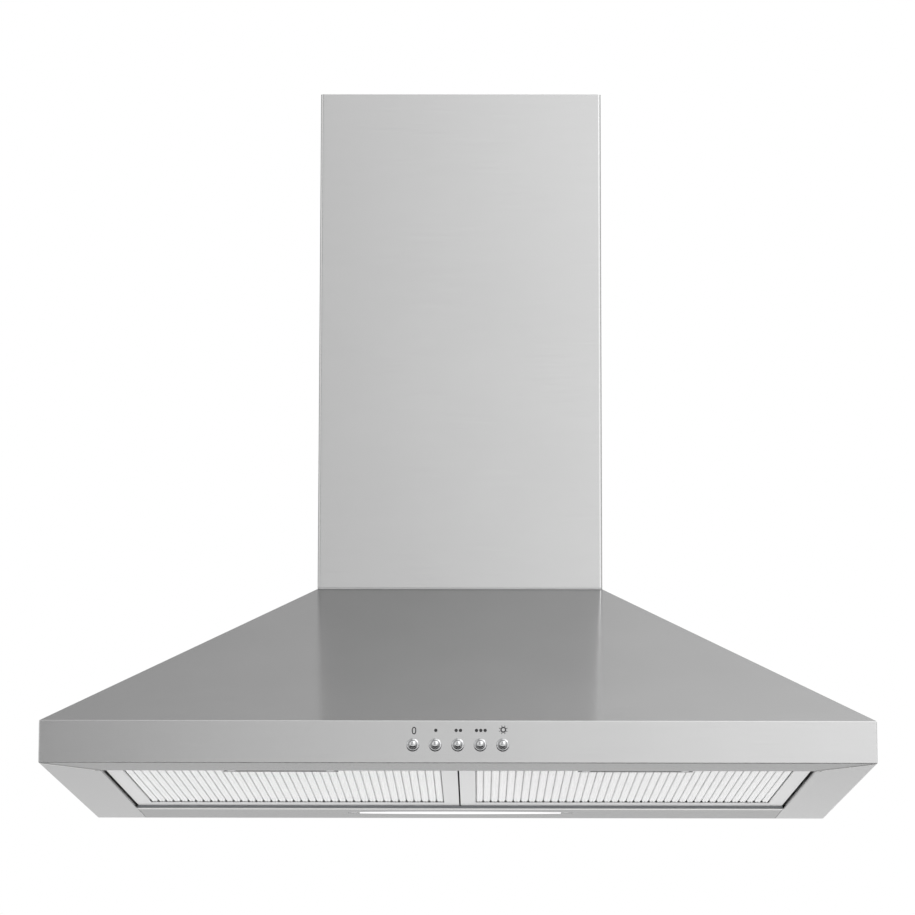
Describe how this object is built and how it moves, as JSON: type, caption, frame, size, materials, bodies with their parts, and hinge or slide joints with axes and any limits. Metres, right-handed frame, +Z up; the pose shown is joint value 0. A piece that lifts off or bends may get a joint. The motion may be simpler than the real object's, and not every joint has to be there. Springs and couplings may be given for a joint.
{
  "type": "chimney range hood",
  "caption": "Wall-mounted chimney range hood with a pyramid canopy, telescopic chimney, push buttons, grease filters, lamp and blower.",
  "frame": {"origin": "point on the wall plane, on the hood's centre line, at the level of its underside (middle of the back panel's bottom edge)", "axes": "+X to the right seen from the room, +Y into the wall (the room is on the -Y side), +Z up"},
  "size_m": [0.6, 0.4955, 0.567],
  "materials": {
    "stainless": "brushed stainless sheet, fine grain",
    "galvanised": "galvanised sheet, satin",
    "chrome": "polished chrome plate",
    "filter_aluminium": "satin rolled aluminium",
    "mesh_aluminium": "bright expanded aluminium mesh",
    "latch_steel": "satin stainless",
    "spring_steel": "bright spring steel",
    "zinc_fastener": "bright zinc plate",
    "lens_white": "opal white, smooth",
    "tray_white": "white reflector enamel",
    "board_green": "circuit board lacquer",
    "black_plastic": "moulded, fine spark texture",
    "grey_plastic": "moulded, fine spark texture",
    "white_plastic": "moulded, satin",
    "motor_grey": "cast and painted, satin",
    "bush_rubber": "matt black rubber",
    "lead_sheath": "grey flexible sheath",
    "shaft_steel": "ground steel"
  },
  "bodies": {
    "root": {"canopy_shell": "stainless", "underside_frame": "stainless", "back_panel": "galvanised", "canopy_rivets": "zinc_fastener", "chimney_lower": "stainless", "chimney_screws": "zinc_fastener", "light_panel": "stainless", "light_lens": "lens_white", "lens_screws": "zinc_fastener", "lamp_tray": "tray_white", "led_board": "board_green", "button_springs": "spring_steel", "button_bezels": "chrome", "switch_housing": "black_plastic", "switch_board": "board_green", "switch_bracket": "galvanised", "switch_screws": "zinc_fastener", "blower_shell_left": "grey_plastic", "blower_shell_right": "grey_plastic", "panel_screws": "zinc_fastener", "inlet_guard": "black_plastic", "motor": "motor_grey", "motor_bracket": "galvanised", "motor_bushes": "bush_rubber", "motor_screws": "zinc_fastener", "duct_spigot": "black_plastic", "flap_rod": "shaft_steel", "terminal_box": "white_plastic", "terminal_lid": "white_plastic", "terminal_block": "white_plastic", "cable_gland": "black_plastic", "capacitor": "white_plastic", "capacitor_clip": "galvanised", "switch_lead": "lead_sheath", "lamp_lead": "lead_sheath"},
    "filter_left": {"filter_left_frame": "filter_aluminium", "filter_left_mesh": "mesh_aluminium", "filter_left_guide_rivets": "zinc_fastener", "filter_left_latch_spring": "spring_steel"},
    "latch_left": {"filter_left_latch": "latch_steel", "filter_left_nose": "spring_steel"},
    "filter_right": {"filter_right_frame": "filter_aluminium", "filter_right_mesh": "mesh_aluminium", "filter_right_guide_rivets": "zinc_fastener", "filter_right_latch_spring": "spring_steel"},
    "latch_right": {"filter_right_latch": "latch_steel", "filter_right_nose": "spring_steel"},
    "button_1": {"button_1": "chrome"},
    "button_2": {"button_2": "chrome"},
    "button_3": {"button_3": "chrome"},
    "button_4": {"button_4": "chrome"},
    "button_5": {"button_5": "chrome"},
    "fan": {"impeller": "black_plastic", "motor_shaft": "shaft_steel", "hub_clip": "spring_steel"},
    "upper_cover": {"chimney_upper": "stainless", "chimney_bracket": "galvanised", "bracket_screws": "zinc_fastener"},
    "flap_front": {"flap_front": "white_plastic"},
    "flap_rear": {"flap_rear": "white_plastic"}
  },
  "joints": [
    {"name": "button_1_press", "type": "slide", "parent": "root", "child": "button_1", "axis": [0, 1, 0], "range_m": [0, 0.0025], "stiffness_N_per_m": 300, "springref_m": -0.004, "deforming": ["button_springs"]},
    {"name": "button_2_press", "type": "slide", "parent": "root", "child": "button_2", "axis": [0, 1, 0], "range_m": [0, 0.0025], "stiffness_N_per_m": 300, "springref_m": -0.004, "deforming": ["button_springs"]},
    {"name": "button_3_press", "type": "slide", "parent": "root", "child": "button_3", "axis": [0, 1, 0], "range_m": [0, 0.0025], "stiffness_N_per_m": 300, "springref_m": -0.004, "deforming": ["button_springs"]},
    {"name": "button_4_press", "type": "slide", "parent": "root", "child": "button_4", "axis": [0, 1, 0], "range_m": [0, 0.0025], "stiffness_N_per_m": 300, "springref_m": -0.004, "deforming": ["button_springs"]},
    {"name": "button_5_press", "type": "slide", "parent": "root", "child": "button_5", "axis": [0, 1, 0], "range_m": [0, 0.0025], "stiffness_N_per_m": 300, "springref_m": -0.004, "deforming": ["button_springs"]},
    {"name": "filter_left_swing", "type": "hinge", "parent": "root", "child": "filter_left", "pos_m": [0, -0.099, 0.0022], "axis": [1, 0, 0], "range_deg": [0, 75], "deforming": ["filter_left_nose"]},
    {"name": "filter_right_swing", "type": "hinge", "parent": "root", "child": "filter_right", "pos_m": [0, -0.099, 0.0022], "axis": [1, 0, 0], "range_deg": [0, 75], "deforming": ["filter_right_nose"]},
    {"name": "latch_left_pull", "type": "slide", "parent": "filter_left", "child": "latch_left", "axis": [0, 1, 0], "range_m": [0, 0.005], "stiffness_N_per_m": 400, "springref_m": -0.004, "deforming": ["filter_left_latch_spring"]},
    {"name": "latch_right_pull", "type": "slide", "parent": "filter_right", "child": "latch_right", "axis": [0, 1, 0], "range_m": [0, 0.005], "stiffness_N_per_m": 400, "springref_m": -0.004, "deforming": ["filter_right_latch_spring"]},
    {"name": "fan_spin", "type": "hinge", "parent": "root", "child": "fan", "pos_m": [0, -0.092, 0.262], "axis": [1, 0, 0], "continuous": true},
    {"name": "upper_cover_slide", "type": "slide", "parent": "root", "child": "upper_cover", "axis": [0, 0, 1], "range_m": [0, 0.3]},
    {"name": "flap_front_swing", "type": "hinge", "parent": "root", "child": "flap_front", "pos_m": [0, -0.092, 0.3688], "axis": [-1, 0, 0], "range_deg": [0, 75]},
    {"name": "flap_rear_swing", "type": "hinge", "parent": "root", "child": "flap_rear", "pos_m": [0, -0.092, 0.3688], "axis": [1, 0, 0], "range_deg": [0, 75]}
  ]
}
